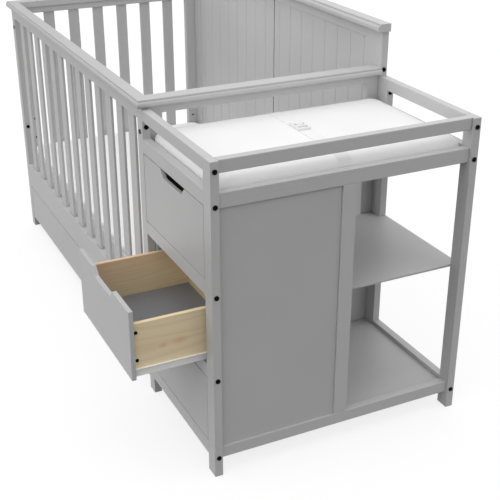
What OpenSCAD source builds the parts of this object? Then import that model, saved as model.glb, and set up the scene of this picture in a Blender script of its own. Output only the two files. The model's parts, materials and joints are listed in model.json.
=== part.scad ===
// Crib with an attached changing table, three drawers, two open shelves
// and a long drawer under the crib. Millimetres, +Z up, front towards -Y.
// Origin: bottom centre of the whole object as it stands, with the middle
// drawer pulled out. The crib is on the left (-X), the changer on the right.

/* [Crib] */
// Length of the crib over its corner posts
crib_length = 1405; // [1390:1:1420]
// Inside depth of the crib, between the front and back panels
crib_inside = 711; // [690:1:725]
// Thickness of the boards of the front, back and end panels
board = 23; // [20:0.5:25]
// Width of the front corner posts
post_width = 36; // [32:1:42]
// Floor to the underside of the side caps
side_height = 882; // [870:1:910]
// Height of the caps on the front and the ends
cap_height = 21; // [18:1:26]
// How far the front cap stands out in front of the posts
cap_front = 15; // [8:1:18]
// How far the end caps stand out past the posts' outer faces
cap_end = 12; // [6:1:14]
// Floor to the underside of the crown on the back panel
back_height = 1006; // [980:1:1060]
// Height of the crown on the back panel
crown_height = 23; // [18:1:30]
// How far the crown stands out in front of the back panel
crown_front = 20; // [12:1:24]
// How far the crown stands out past the back panel's ends
crown_end = 8; // [4:1:12]
// Height of the front top rail
top_rail = 38; // [30:1:50]
// Height of the end panels' top rail
end_top_rail = 24; // [20:1:34]
// Floor to the lower edge of the front bottom rail
bottom_rail_z = 174; // [166:1:190]
// Height of the front bottom rail
bottom_rail = 93; // [84:1:120]
// Floor to the lower edge of the end and back bottom rails
low_rail_z = 45; // [42:1:48]
// How far the end panels sit inside the posts' outer faces
end_inset = 7; // [4:1:10]
// Width of the end panels' stiles
end_stile = 38; // [34:1:44]

/* [Slats] */
// Number of slats in the front panel
front_slat_count = 13; // [11:1:13]
// Width of a front slat
front_slat = 50; // [44:1:52]
// Number of slats in each end panel
end_slat_count = 6; // [5:1:6]
// Width of an end slat
end_slat = 41; // [36:1:44]
// Thickness of a slat
slat_thick = 8; // [7:0.5:12]
// Height of the open slot under the right end's top rail
slot_height = 57; // [44:1:62]
// Height of the right end's middle rail
middle_rail = 36; // [30:1:44]

/* [Back panel] */
// Width of the stiles at both sides of the back panel
back_stile = 84; // [70:1:96]
// Height of the back panel's top rail
back_top_rail = 32; // [26:1:44]
// Height of the back panel's bottom rail
back_bottom_rail = 120; // [90:1:140]
// Thickness of the beadboard
bead_board = 9; // [7:0.5:11]
// Depth that the beadboard lies behind the stiles' front faces
bead_recess = 3; // [2:0.5:4]
// Distance from one bead groove to the next
bead_pitch = 77; // [60:1:90]
// Width of a bead groove
bead_width = 4; // [3:0.5:6]
// Depth of a bead groove
bead_depth = 2; // [1:0.5:3]
// Width of the batten behind the seam of the beadboards
batten_width = 70; // [50:1:90]
// Distance that the beadboards' seam lies right of the crib's middle
seam_shift = 26; // [0:1:40]

/* [Mattress] */
// Floor to the underside of the mattress
mattress_z = 204; // [196:1:210]
// Height of the mattress at its middle
mattress_height = 138; // [120:1:145]
// Width of one mattress support rail
support_rail = 40; // [30:1:46]
// Thickness of the mattress support rails
support_thick = 18; // [15:1:20]
// Number of slats that carry the mattress
support_slats = 11; // [8:1:13]
// Width of a mattress support slat
support_slat = 60; // [50:1:70]
// Gap between the mattress and the panels round it
mattress_gap = 6; // [4:1:12]

/* [Changer] */
// Length of the changer beyond the crib's right end
changer_length = 441; // [430:1:450]
// How far the changer's posts end below the crib's caps
changer_drop = 5; // [1:1:12]
// Width of the changer's outer posts
changer_post = 42; // [38:1:46]
// Width of the post where the changer joins the crib's back
inner_post = 40; // [36:1:44]
// Height of the guard rails round the pad
guard_rail = 33; // [28:1:38]
// Height of the rails that carry the pad, the drawers and the shelves
rail = 39; // [36:1:42]
// Floor to the lower edge of the changer's bottom rails
rail_z = 50; // [46:1:56]
// Height of the bottom rails at the changer's end and back
low_end_rail = 34; // [30:1:38]
// Gap between the guard rails and the rails below them
guard_gap = 48.5; // [44:0.5:54]
// Thickness of the bottom shelf, partition, side and end panels
panel = 12; // [10:1:14]
// Thickness of the middle shelf
shelf_thick = 6; // [5:0.5:10]
// Width of the upright between the end panel and the shelves
centre_stile = 40; // [34:1:46]
// Floor to the top of the middle shelf
shelf_top = 450; // [430:1:470]
// How far the end panel lies behind the faces of its rails
panel_recess = 5; // [3:1:7]

/* [Drawers] */
// How far the middle drawer stands open
drawer_open = 197; // [170:1:205]
// Gap round a drawer front
drawer_gap = 2.5; // [2:0.5:3.5]
// Thickness of a drawer front
front_thick = 12; // [10:1:18]
// Thickness of a drawer's pine sides and back
drawer_side = 12; // [10:1:13]
// Height of a drawer's pine sides and back
side_tall = 126; // [110:1:134]
// Height of a drawer's sides above the lower edge of its front
side_lift = 25; // [22:1:30]
// Depth of a changer drawer's box behind its front
box_depth = 300; // [280:1:310]
// Thickness of the drawer bottoms
bottom_thick = 5; // [4:0.5:6]
// Width of the finger dip at the top edge of a drawer front
dip_top = 158; // [140:1:168]
// Width of the finger dip at its lower edge
dip_low = 118; // [100:1:130]
// Depth of the finger dip
dip_depth = 22; // [18:1:26]
// Floor to the lower edge of the long drawer's front
long_front_z = 40; // [36:1:46]
// Depth of the long drawer's box behind its front
long_depth = 560; // [500:1:600]
// Height of the long drawer's sides
long_side_height = 90; // [80:1:94]
// Thickness of the metal of the runners and tracks
sheet = 1.5; // [1:0.5:2]
// Radius of a runner's nylon roller
roller_r = 6; // [5:0.5:6.5]

/* [Pad] */
// Height of the changing pad at its middle
pad_height = 46; // [36:1:52]
// Gap between the pad and the guard rails all round it
pad_gap = 5; // [4:0.5:12]
// Width of the safety belt
belt_width = 38; // [30:1:45]
// Thickness of the safety belt
belt_thick = 1.5; // [1:0.5:2]

/* [Bolts] */
// Radius of a bolt's head
bolt_head = 6.5; // [5.5:0.25:7.5]
// Radius of a bolt's shank
bolt_shank = 3; // [2.5:0.25:3.5]
// Clearance round a bolt's shank
bolt_clear = 0.4; // [0.3:0.1:0.6]

/* [Hidden] */

paint = [0.70, 0.70, 0.70];
pine = [0.80, 0.68, 0.46];
dark_board = [0.42, 0.42, 0.43];
white_metal = [0.90, 0.90, 0.90];
white_cloth = [0.96, 0.96, 0.96];
black_bolt = [0.08, 0.08, 0.08];

// Main planes. X runs from the crib's left face, Y from the front face.
depth = crib_inside + 2 * board;
back_y = depth - board;
total_length = crib_length + changer_length;
changer_x = crib_length;
outer_post_x = total_length - changer_post;
middle_x = (total_length - cap_end) / 2;
middle_y = (depth - drawer_open) / 2;

// Crib
inside_x = post_width;
inside_length = crib_length - 2 * post_width;
top_rail_z = side_height - top_rail;
slat_z = bottom_rail_z + bottom_rail;
end_top_z = side_height - end_top_rail;
middle_rail_z = end_top_z - slot_height - middle_rail;
low_rail = slat_z - low_rail_z;
right_end_x = crib_length - end_inset - board;
end_inner = end_inset + board;
slat_inset = (board - slat_thick) / 2;

// Changer
changer_height = side_height - changer_drop;
guard_z = changer_height - guard_rail;
row_pitch = (guard_z - guard_gap - rail - rail_z) / 3;
row_z = [for (row = [0:3]) rail_z + row * row_pitch];
row_open = row_pitch - rail;
pad_rail_z = row_z[3];
pad_rail_top = pad_rail_z + rail;
low_end_z = rail_z + 2;
low_end_top = low_end_z + low_end_rail;
end_face_x = total_length - end_inset;
end_back_x = end_face_x - board;
stile_y = (depth - centre_stile) / 2;
partition_y = (depth - panel) / 2;
panel_x = end_face_x - panel_recess - panel;
tray_drop = 19;
tray_z = pad_rail_top - tray_drop - panel;
pad_z = tray_z + panel;

// Drawers
drawer_x = changer_x + drawer_gap;
drawer_width = outer_post_x - changer_x - 2 * drawer_gap;
drawer_tall = row_open - 2 * drawer_gap;
track_wide = 11;
track_tall = 16;
track_mouth = 3;
track_back = 2;
bottom_lift = 8;
long_gap = 3;
long_front_tall = bottom_rail_z - long_front_z - long_gap;
long_lift = 26;

// Points of a rounded cushion outline: one ring of the cushion's surface.
ring_points = 64;
corner_power = 14;
function signed_power(value, power) = sign(value) * pow(abs(value), power);
function cushion_ring(half_x, half_y, inset, pull, z) = [
    for (i = [0:ring_points - 1])
        let (
            turn = (i + 0.5) * 360 / ring_points,
            along = signed_power(cos(turn), 2 / corner_power),
            across = signed_power(sin(turn), 2 / corner_power)
        )
        [
            (half_x - inset - pull * (1 - across * across)) * along,
            (half_y - inset - pull * (1 - along * along)) * across,
            z
        ]
];

// The pad's top surface rises from its edge to its middle.
crown_steps = 4;
function crown_z(share, edge_z, crown) = edge_z + crown * sin(90 * share);

// Heights and insets of the rings from the bottom face to the middle of the top.
wall_turn = 60;
wall_share = 0.94;
top_share = 0.8;
foot_share = 1.2;
function cushion_rings(half, height, crown, edge) =
    let (
        wall_top = height - crown,
        reach = half * top_share,
        mid = wall_top / 2
    )
    concat(
        [[edge * foot_share, 0]],
        [for (a = [-wall_turn:wall_turn / 2:wall_turn])
            [edge * (1 - cos(a)), mid + mid * wall_share * sin(a) / sin(wall_turn)]],
        [for (k = [0:crown_steps]) [edge + reach * k / crown_steps,
            crown_z(k / crown_steps, wall_top, crown)]]
    );

module cushion(size_x, size_y, height, crown, edge, pull) {
    rings = cushion_rings(min(size_x, size_y) / 2, height, crown, edge);
    count = len(rings);
    points = concat(
        [for (ring = rings) each cushion_ring(size_x / 2, size_y / 2, ring[0], pull, ring[1])],
        [[0, 0, 0], [0, 0, height]]
    );
    low = count * ring_points;
    faces = concat(
        [for (i = [0:ring_points - 1]) [low, i, (i + 1) % ring_points]],
        [for (r = [0:count - 2], i = [0:ring_points - 1])
            let (j = (i + 1) % ring_points, a = r * ring_points, b = a + ring_points)
            each [[a + i, b + i, a + j], [a + j, b + i, b + j]]],
        [for (i = [0:ring_points - 1])
            let (a = (count - 1) * ring_points)
            [a + i, low + 1, a + (i + 1) % ring_points]]
    );
    polyhedron(points, faces);
}

// Everything is drawn from the crib's left front foot, then moved to the origin.
module placed() {
    translate([-middle_x, -middle_y, 0]) children();
}

// Bolts, each as the middle of its head's seat. The long ones join a rail to
// the post at its end, a set height above the rail's lower edge.
bolt_reach = 60;
bolt_up = 8;
front_bolt_y = board / 2;
back_bolt_y = depth - board / 2;
post_bolt_z = concat([for (z = row_z) z + bolt_up], [guard_z + bolt_up]);
back_bolt_z = [low_end_z + bolt_up, pad_rail_z + bolt_up, guard_z + bolt_up];
low_bolt_down = 30;
middle_bolt_up = 46;
end_bolt_z = [slat_z - low_bolt_down, middle_rail_z + middle_bolt_up];
x_bolts = concat(
    [for (z = post_bolt_z) [total_length, front_bolt_y, z]],
    [for (z = back_bolt_z) [total_length, back_bolt_y, z]]
);
// The short ones stop inside a crib post.
short_reach = 28;
top_bolt_down = 17;
cap_bolt_up = 13;
bracket_bolt_up = 155;
short_bolts = [
    [crib_length, front_bolt_y, top_rail_z - top_bolt_down],
    [crib_length, back_bolt_y, side_height + cap_bolt_up],
    [post_width, front_bolt_y, slat_z + bracket_bolt_up],
];
y_bolts = concat(
    [[end_inset + board / 2, 0, end_bolt_z[1]]],
    [for (z = end_bolt_z) [right_end_x + board / 2, 0, z]]
);

module shank_way(radius) {
    for (place = x_bolts)
        translate(place) rotate([0, -90, 0]) cylinder(r = radius, h = bolt_reach, $fn = 24);
    for (place = y_bolts)
        translate(place) rotate([-90, 0, 0]) cylinder(r = radius, h = bolt_reach, $fn = 24);
    for (place = short_bolts)
        translate(place) rotate([0, -90, 0]) cylinder(r = radius, h = short_reach, $fn = 24);
}

module bored() {
    difference() {
        children();
        translate([0.01, -0.01, 0]) shank_way(bolt_shank + bolt_clear);
    }
}

// ---- Crib front ----

module front_post(x) {
    placed() color(paint) bored()
        translate([x, 0, 0]) cube([post_width, board, side_height]);
}

module front_left_post() {
    front_post(0);
}

module front_right_post() {
    front_post(crib_length - post_width);
}

module front_top_rail() {
    placed() color(paint)
        translate([inside_x, 0, top_rail_z]) cube([inside_length, board, top_rail]);
}

module front_bottom_rail() {
    placed() color(paint)
        translate([inside_x, 0, bottom_rail_z]) cube([inside_length, board, bottom_rail]);
}

module front_slats() {
    gap = (inside_length - front_slat_count * front_slat) / (front_slat_count + 1);
    placed() color(paint)
        for (i = [0:front_slat_count - 1])
            translate([inside_x + gap + i * (front_slat + gap), slat_inset, slat_z])
                cube([front_slat, slat_thick, top_rail_z - slat_z]);
}

// A cap is a wider moulding with a round nose and a board on top of it that
// steps back. x runs from the inner edge out, y from the underside up.
cap_step = 4;
nose = 12;
nose_share = 0.8;
module cap_profile(inner, outer, height, step) {
    low = height * nose_share;
    hull() {
        translate([-inner, 0]) square([inner + outer - nose, low]);
        for (y = [nose * 0.6, low - nose * 0.6])
            translate([outer - nose * 0.6, y]) circle(r = nose * 0.6, $fn = 32);
    }
    translate([-inner, low]) square([inner + outer - step, height - low]);
}

// Plan outline of the front cap: a long trapezoid that ends in two mitres.
module front_cap_plan() {
    polygon([
        [-cap_end, -cap_front],
        [crib_length + cap_end, -cap_front],
        [crib_length - post_width, board],
        [post_width, board],
    ]);
}

module front_cap() {
    placed() color(paint) intersection() {
        translate([-cap_end, 0, side_height]) rotate([90, 0, 90]) mirror([1, 0, 0])
            linear_extrude(crib_length + 2 * cap_end)
                cap_profile(board, cap_front, cap_height, cap_step);
        translate([0, 0, side_height]) linear_extrude(cap_height) front_cap_plan();
    }
}

module left_cap() {
    intersection() {
        translate([0, back_y, side_height]) rotate([90, 0, 0]) mirror([1, 0, 0])
            linear_extrude(back_y + cap_front)
                cap_profile(post_width, cap_end, cap_height, cap_step);
        translate([0, 0, side_height]) linear_extrude(cap_height) polygon([
            [-cap_end, -cap_front],
            [post_width, board],
            [post_width, back_y],
            [-cap_end, back_y],
        ]);
    }
}

module end_caps() {
    placed() color(paint) {
        left_cap();
        translate([crib_length, 0, 0]) mirror([1, 0, 0]) left_cap();
    }
}

// ---- Crib ends ----

module end_stiles(x) {
    for (y = [board, back_y - end_stile])
        translate([x, y, low_rail_z]) cube([board, end_stile, side_height - low_rail_z]);
}

module end_rail(x, z, height) {
    translate([x, board + end_stile, z]) cube([board, crib_inside - 2 * end_stile, height]);
}

module end_slats(x, top) {
    open = crib_inside - 2 * end_stile;
    gap = (open - end_slat_count * end_slat) / (end_slat_count + 1);
    for (i = [0:end_slat_count - 1])
        translate([x + slat_inset, board + end_stile + gap + i * (end_slat + gap), slat_z])
            cube([slat_thick, end_slat, top - slat_z]);
}

// Blind holes for the mattress brackets at the three unused heights.
height_holes = [290, 372, 448];
hole_r = 4;
hole_deep = 14;
module height_bores(face, way) {
    for (z = height_holes, y = [board + end_stile / 2, back_y - end_stile / 2])
        translate([face - 0.01 * way, y, z]) rotate([0, 90 * way, 0])
            cylinder(r = hole_r, h = hole_deep, $fn = 24);
}

module left_end_frame() {
    placed() color(paint) difference() {
        bored() {
            end_stiles(end_inset);
            end_rail(end_inset, end_top_z, end_top_rail);
            end_rail(end_inset, low_rail_z, low_rail);
        }
        height_bores(end_inner, -1);
    }
}

module left_end_slats() {
    placed() color(paint) end_slats(end_inset, end_top_z);
}

module right_end_frame() {
    placed() color(paint) difference() {
        bored() {
            end_stiles(right_end_x);
            end_rail(right_end_x, end_top_z, end_top_rail);
            end_rail(right_end_x, middle_rail_z, middle_rail);
            end_rail(right_end_x, low_rail_z, low_rail);
        }
        height_bores(right_end_x, 1);
    }
}

module right_end_slats() {
    placed() color(paint) end_slats(right_end_x, middle_rail_z);
}

// ---- Crib back ----

module back_left_post() {
    placed() color(paint)
        translate([0, back_y, 0]) cube([back_stile, board, back_height]);
}

module back_right_post() {
    placed() color(paint) bored()
        translate([crib_length - back_stile, back_y, 0])
            cube([back_stile, board, back_height]);
}

back_inside = crib_length - 2 * back_stile;
seam_x = crib_length / 2 + seam_shift;
back_top_z = back_height - back_top_rail;
back_low_top = low_rail_z + back_bottom_rail;
bead_y = back_y + bead_recess;

module back_frame() {
    placed() color(paint) {
        translate([back_stile, back_y, back_top_z]) cube([back_inside, board, back_top_rail]);
        translate([back_stile, back_y, low_rail_z]) cube([back_inside, board, back_bottom_rail]);
        translate([seam_x - batten_width / 2, bead_y + bead_board, back_low_top])
            cube([batten_width, depth - bead_y - bead_board, back_top_z - back_low_top]);
    }
}

seam = 3;
module bead_panel(x, width) {
    difference() {
        translate([x, bead_y, back_low_top]) cube([width, bead_board, back_top_z - back_low_top]);
        for (groove = [bead_pitch / 2:bead_pitch:width - bead_width])
            translate([x + groove, bead_y, back_low_top - 1])
                linear_extrude(back_top_z - back_low_top + 2)
                    polygon([[-bead_width / 2, -0.1], [bead_width / 2, -0.1], [0, bead_depth]]);
    }
}

module back_panels() {
    placed() color(paint) {
        bead_panel(back_stile, seam_x - seam / 2 - back_stile);
        bead_panel(seam_x + seam / 2, back_stile + back_inside - seam_x - seam / 2);
    }
}

// The crown is like the caps: a round moulding in front, and flush at the back.
module back_crown() {
    placed() color(paint) translate([-crown_end, back_y, back_height])
        rotate([90, 0, 90]) mirror([1, 0, 0]) linear_extrude(crib_length + 2 * crown_end)
            cap_profile(board, crown_front, crown_height, 2 * cap_step);
}

// ---- Mattress support ----

support_z = mattress_z - support_thick;
support_gap = 3;
support_x = end_inner + support_gap;
support_length = crib_length - 2 * support_x;
support_y = board + support_gap;
support_depth = crib_inside - 2 * support_gap;
slat_board = 10;

module mattress_frame() {
    placed() color(pine) translate([support_x, support_y, support_z]) {
        for (y = [0, support_depth - support_rail])
            translate([0, y, 0]) cube([support_length, support_rail, support_thick]);
        for (x = [0, support_length - support_rail])
            translate([x, support_rail, 0])
                cube([support_rail, support_depth - 2 * support_rail, support_thick]);
    }
}

module mattress_slats() {
    open = support_length - 2 * support_rail;
    gap = (open - support_slats * support_slat) / (support_slats + 1);
    placed() color(pine)
        for (i = [0:support_slats - 1])
            translate([support_x + support_rail + gap + i * (support_slat + gap),
                       support_y + support_rail, mattress_z - slat_board])
                cube([support_slat, support_depth - 2 * support_rail, slat_board]);
}

bracket_tall = 40;
bracket_wide = 32;
bracket_thick = 3;
module support_brackets() {
    placed() color(white_metal)
        for (right = [0, 1], y = [support_y, support_y + support_depth - bracket_wide])
            translate([right ? crib_length - end_inner : end_inner, y, support_z - bracket_thick])
                mirror([right, 0, 0]) {
                    cube([support_rail, bracket_wide, bracket_thick]);
                    translate([0, 0, -bracket_tall])
                        cube([bracket_thick, bracket_wide, bracket_tall]);
                }
}

mattress_length = crib_length - 2 * (end_inner + mattress_gap);
mattress_width = crib_inside - 2 * mattress_gap;

mattress_crown = 10;
mattress_edge = 16;
cushion_pull = 4;

module mattress() {
    placed() color(white_cloth) translate([crib_length / 2, depth / 2, mattress_z])
        cushion(mattress_length, mattress_width, mattress_height,
                mattress_crown, mattress_edge, cushion_pull);
}

// ---- Runners ----

// A fixed C-shaped track that opens towards +X, from the front face backwards.
module track(length) {
    cube([sheet, length, track_tall]);
    for (z = [0, track_tall - sheet])
        translate([0, 0, z]) cube([track_wide - track_mouth, length, sheet]);
}

// A drawer's runner: an upright strip beside the drawer and a ledge under it,
// with the pin of its roller at the rear.
roller_x = 2.1;
roller_wide = 4.8;
roller_pin = 2;
pin_clear = 0.06;
runner_lip = 4;
module runner(length) {
    upright = track_wide - sheet;
    translate([upright, 0, -runner_lip]) cube([sheet, length, track_tall + runner_lip]);
    translate([upright, 0, track_tall - sheet]) cube([drawer_side, length, sheet]);
    translate([roller_x, length - roller_r, track_tall / 2])
        rotate([0, 90, 0]) cylinder(r = roller_pin, h = upright - roller_x, $fn = 32);
}

module roller(length) {
    translate([roller_x, length - roller_r, track_tall / 2]) rotate([0, 90, 0])
        difference() {
            cylinder(r = roller_r, h = roller_wide, $fn = 32);
            translate([0, 0, -1])
                cylinder(r = roller_pin + pin_clear, h = roller_wide + 2, $fn = 32);
        }
}

// ---- Long drawer under the crib ----

long_x = inside_x + long_gap;
long_width = inside_length - 2 * long_gap;
long_box_x = end_inner + track_wide + sheet;
long_box_width = crib_length - 2 * long_box_x;
long_box_z = long_front_z + long_lift;

module crib_drawer_front() {
    placed() color(paint) translate([long_x, 0, long_front_z])
        cube([long_width, front_thick, long_front_tall]);
}

module drawer_box(x, z, width, length, height) {
    translate([x, front_thick, z]) {
        for (side = [0, width - drawer_side])
            translate([side, 0, 0]) cube([drawer_side, length, height]);
        translate([drawer_side, length - drawer_side, 0])
            cube([width - 2 * drawer_side, drawer_side, height]);
    }
}

module drawer_bottom(x, z, width, length) {
    translate([x + drawer_side, front_thick, z + bottom_lift])
        cube([width - 2 * drawer_side, length - drawer_side, bottom_thick]);
}

module crib_drawer_box() {
    placed() color(pine)
        drawer_box(long_box_x, long_box_z, long_box_width, long_depth, long_side_height);
}

module crib_drawer_bottom() {
    placed() color(dark_board)
        drawer_bottom(long_box_x, long_box_z, long_box_width, long_depth);
}

module pair(left, right) {
    translate([left, 0, 0]) children();
    translate([right, 0, 0]) mirror([1, 0, 0]) children();
}

long_track_z = long_box_z - track_tall;
module crib_drawer_runners() {
    placed() color(white_metal) translate([0, front_thick, long_track_z])
        pair(end_inner + sheet, crib_length - end_inner - sheet) runner(long_depth);
}

module crib_drawer_rollers() {
    placed() color(white_metal) translate([0, front_thick, long_track_z])
        pair(end_inner + sheet, crib_length - end_inner - sheet) roller(long_depth);
}

module crib_drawer_tracks() {
    placed() color(white_metal) translate([0, board + track_back, long_track_z])
        pair(end_inner, crib_length - end_inner) track(long_depth);
}

// ---- Changer frame ----

module changer_front_post() {
    placed() color(paint) bored()
        translate([outer_post_x, 0, 0]) cube([changer_post, board, changer_height]);
}

module changer_back_post() {
    placed() color(paint) bored()
        translate([outer_post_x, back_y, 0]) cube([changer_post, board, changer_height]);
}

module changer_inner_post() {
    placed() color(paint) bored()
        translate([changer_x, back_y, 0]) cube([inner_post, board, changer_height]);
}

module front_run(z, height) {
    translate([changer_x, 0, z]) cube([outer_post_x - changer_x, board, height]);
}

module back_run(z, height) {
    translate([changer_x + inner_post, back_y, z])
        cube([outer_post_x - changer_x - inner_post, board, height]);
}

module end_run(z, height) {
    translate([end_back_x, board, z]) cube([board, crib_inside, height]);
}

module guard_rails() {
    placed() color(paint) bored() {
        front_run(guard_z, guard_rail);
        back_run(guard_z, guard_rail);
        end_run(guard_z, guard_rail);
    }
}

module drawer_rails() {
    placed() color(paint) bored()
        for (z = row_z) front_run(z, rail);
}

module back_lower_rails() {
    placed() color(paint) bored() {
        back_run(pad_rail_z, rail);
        back_run(low_end_z, low_end_rail);
    }
}

module end_rails() {
    placed() color(paint) {
        end_run(pad_rail_z, rail);
        end_run(low_end_z, low_end_rail);
    }
}

module changer_tray() {
    placed() color(paint)
        translate([changer_x, board, tray_z]) cube([end_back_x - changer_x, crib_inside, panel]);
}

module end_panel() {
    placed() color(paint) translate([panel_x, board, low_end_top])
        cube([panel, stile_y - board, pad_rail_z - low_end_top]);
}

module centre_stile() {
    placed() color(paint) translate([end_back_x, stile_y, low_end_top])
        cube([board, centre_stile, pad_rail_z - low_end_top]);
}

shelf_up = 12;
shelf_low = row_z[0] + shelf_up;
shelf_low_top = shelf_low + panel;

module partition() {
    placed() color(paint) translate([changer_x, partition_y, shelf_low_top])
        cube([end_back_x - changer_x, panel, tray_z - shelf_low_top]);
}

module inner_side_panel() {
    placed() color(paint) translate([changer_x, board, shelf_low_top])
        cube([panel, partition_y - board, tray_z - shelf_low_top]);
}

module bottom_shelf() {
    placed() color(paint) translate([changer_x, board, shelf_low])
        cube([end_back_x - changer_x, crib_inside, panel]);
}

shelf_edge = 8;
module middle_shelf() {
    placed() color(paint) difference() {
        translate([changer_x, partition_y + panel, shelf_top - shelf_thick])
            cube([outer_post_x + shelf_edge - changer_x, depth - partition_y - panel, shelf_thick]);
        translate([changer_x - 1, back_y, shelf_top - shelf_thick - 1])
            cube([inner_post + 1, board + 1, shelf_thick + 2]);
        translate([outer_post_x, back_y, shelf_top - shelf_thick - 1])
            cube([changer_post, board + 1, shelf_thick + 2]);
    }
}

cleat = 16;
cleat_inset = 20;
module shelf_cleats() {
    placed() color(paint) {
        translate([changer_x + cleat_inset, partition_y + panel, shelf_top - shelf_thick - cleat])
            cube([end_back_x - changer_x - 2 * cleat_inset, cleat, cleat]);
        translate([changer_x, back_y - cleat, shelf_top - shelf_thick - cleat])
            cube([inner_post, cleat, cleat]);
    }
}

// ---- Changer drawers: row 2 is the top one, row 1 stands open ----

function pulled(row) = row == 1 ? -drawer_open : 0;
function front_z(row) = row_z[row] + rail + drawer_gap;
function box_z(row) = front_z(row) + side_lift;
box_x = changer_x + panel + track_wide + sheet;
box_right = outer_post_x - track_wide - sheet;
box_width = box_right - box_x;

module in_row(row) {
    placed() translate([0, pulled(row), 0]) children();
}

module drawer_front(row) {
    in_row(row) color(paint) difference() {
        translate([drawer_x, 0, front_z(row)]) cube([drawer_width, front_thick, drawer_tall]);
        translate([drawer_x + drawer_width / 2, front_thick + 1, front_z(row) + drawer_tall])
            rotate([90, 0, 0]) linear_extrude(front_thick + 2)
                polygon([
                    [-dip_top / 2, 0.1], [dip_top / 2, 0.1],
                    [dip_low / 2, -dip_depth], [-dip_low / 2, -dip_depth],
                ]);
    }
}

module changer_drawer_box(row) {
    in_row(row) color(pine) drawer_box(box_x, box_z(row), box_width, box_depth, side_tall);
}

module changer_drawer_bottom(row) {
    in_row(row) color(dark_board) drawer_bottom(box_x, box_z(row), box_width, box_depth);
}

track_left = changer_x + panel;
track_right = outer_post_x;
module changer_drawer_runners(row) {
    in_row(row) color(white_metal) translate([0, front_thick, box_z(row) - track_tall])
        pair(track_left + sheet, track_right - sheet) runner(box_depth);
}

module changer_drawer_rollers(row) {
    in_row(row) color(white_metal) translate([0, front_thick, box_z(row) - track_tall])
        pair(track_left + sheet, track_right - sheet) roller(box_depth);
}

// The right tracks stand off the end panel on a packing strip.
module drawer_tracks() {
    placed() color(white_metal)
        for (row = [0:2]) translate([0, board + track_back, box_z(row) - track_tall]) {
            pair(track_left, track_right) track(box_depth);
            translate([track_right, 0, 0]) cube([panel_x - track_right, box_depth, track_tall]);
        }
}

module top_drawer_front() { drawer_front(2); }
module top_drawer_box() { changer_drawer_box(2); }
module top_drawer_bottom() { changer_drawer_bottom(2); }
module top_drawer_runners() { changer_drawer_runners(2); }
module top_drawer_rollers() { changer_drawer_rollers(2); }
module middle_drawer_front() { drawer_front(1); }
module middle_drawer_box() { changer_drawer_box(1); }
module middle_drawer_bottom() { changer_drawer_bottom(1); }
module middle_drawer_runners() { changer_drawer_runners(1); }
module middle_drawer_rollers() { changer_drawer_rollers(1); }
module bottom_drawer_front() { drawer_front(0); }
module bottom_drawer_box() { changer_drawer_box(0); }
module bottom_drawer_bottom() { changer_drawer_bottom(0); }
module bottom_drawer_runners() { changer_drawer_runners(0); }
module bottom_drawer_rollers() { changer_drawer_rollers(0); }

// ---- Changing pad and safety belt ----

pad_length = end_back_x - changer_x - 2 * pad_gap;
pad_width = crib_inside - 2 * pad_gap;
pad_middle_x = (changer_x + end_back_x) / 2;
pad_crown = 5;
pad_edge = 14;

module changing_pad() {
    placed() color(white_cloth) translate([pad_middle_x, depth / 2, pad_z])
        cushion(pad_length, pad_width, pad_height, pad_crown, pad_edge, cushion_pull);
}

// The belt lies across the pad and goes down at both sides to the tray.
belt_clear = 2;
belt_half = pad_length / 2 + belt_clear;
belt_top = pad_z + pad_height + 1;
belt_flat = 60;
belt_turn = 10;
belt_fall = 11;
buckle = [64, 40, 8];
buckle_shift = 34;
module belt_line(out, foot) {
    polygon(concat(
        [for (side = [-1, 1]) [side * (belt_half + out), foot]],
        [
            [belt_half + out, belt_top - belt_fall - pad_crown + out],
            [belt_half - belt_turn + out, belt_top - pad_crown / 2 + out],
            [belt_flat, belt_top + out], [-belt_flat, belt_top + out],
            [-belt_half + belt_turn - out, belt_top - pad_crown / 2 + out],
            [-belt_half - out, belt_top - belt_fall - pad_crown + out],
        ]
    ));
}

module safety_belt() {
    placed() color(white_cloth) translate([pad_middle_x, depth / 2, 0]) {
        rotate([90, 0, 0]) linear_extrude(belt_width, center = true) difference() {
            belt_line(belt_thick, pad_z);
            belt_line(0, pad_z - 1);
        }
        translate([-buckle_shift - buckle[0] / 2, -buckle[1] / 2, belt_top + belt_thick])
            cube(buckle);
    }
}

// ---- Bolts ----

head_thick = 2;
key_deep = 1.3;
key_r = bolt_head * 0.45;
bolt_spare = 6;
module bolt(reach) {
    translate([0, 0, -head_thick]) difference() {
        cylinder(r = bolt_head, h = head_thick, $fn = 32);
        translate([0, 0, -0.1]) cylinder(r = key_r, h = key_deep + 0.1, $fn = 6);
    }
    cylinder(r = bolt_shank, h = reach - bolt_spare, $fn = 24);
}

module bolts() {
    placed() color(black_bolt) {
        for (place = x_bolts) translate(place) rotate([0, -90, 0]) bolt(bolt_reach);
        for (place = y_bolts) translate(place) rotate([-90, 0, 0]) bolt(bolt_reach);
        for (place = short_bolts) translate(place) rotate([0, -90, 0]) bolt(short_reach);
    }
}

front_left_post();
front_right_post();
front_top_rail();
front_bottom_rail();
front_slats();
front_cap();
end_caps();
left_end_frame();
left_end_slats();
right_end_frame();
right_end_slats();
back_left_post();
back_right_post();
back_frame();
back_panels();
back_crown();
mattress_frame();
mattress_slats();
support_brackets();
mattress();
crib_drawer_front();
crib_drawer_box();
crib_drawer_bottom();
crib_drawer_runners();
crib_drawer_rollers();
crib_drawer_tracks();
changer_front_post();
changer_back_post();
changer_inner_post();
guard_rails();
drawer_rails();
back_lower_rails();
end_rails();
changer_tray();
end_panel();
centre_stile();
partition();
inner_side_panel();
bottom_shelf();
middle_shelf();
shelf_cleats();
top_drawer_front();
top_drawer_box();
top_drawer_bottom();
top_drawer_runners();
top_drawer_rollers();
middle_drawer_front();
middle_drawer_box();
middle_drawer_bottom();
middle_drawer_runners();
middle_drawer_rollers();
bottom_drawer_front();
bottom_drawer_box();
bottom_drawer_bottom();
bottom_drawer_runners();
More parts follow.
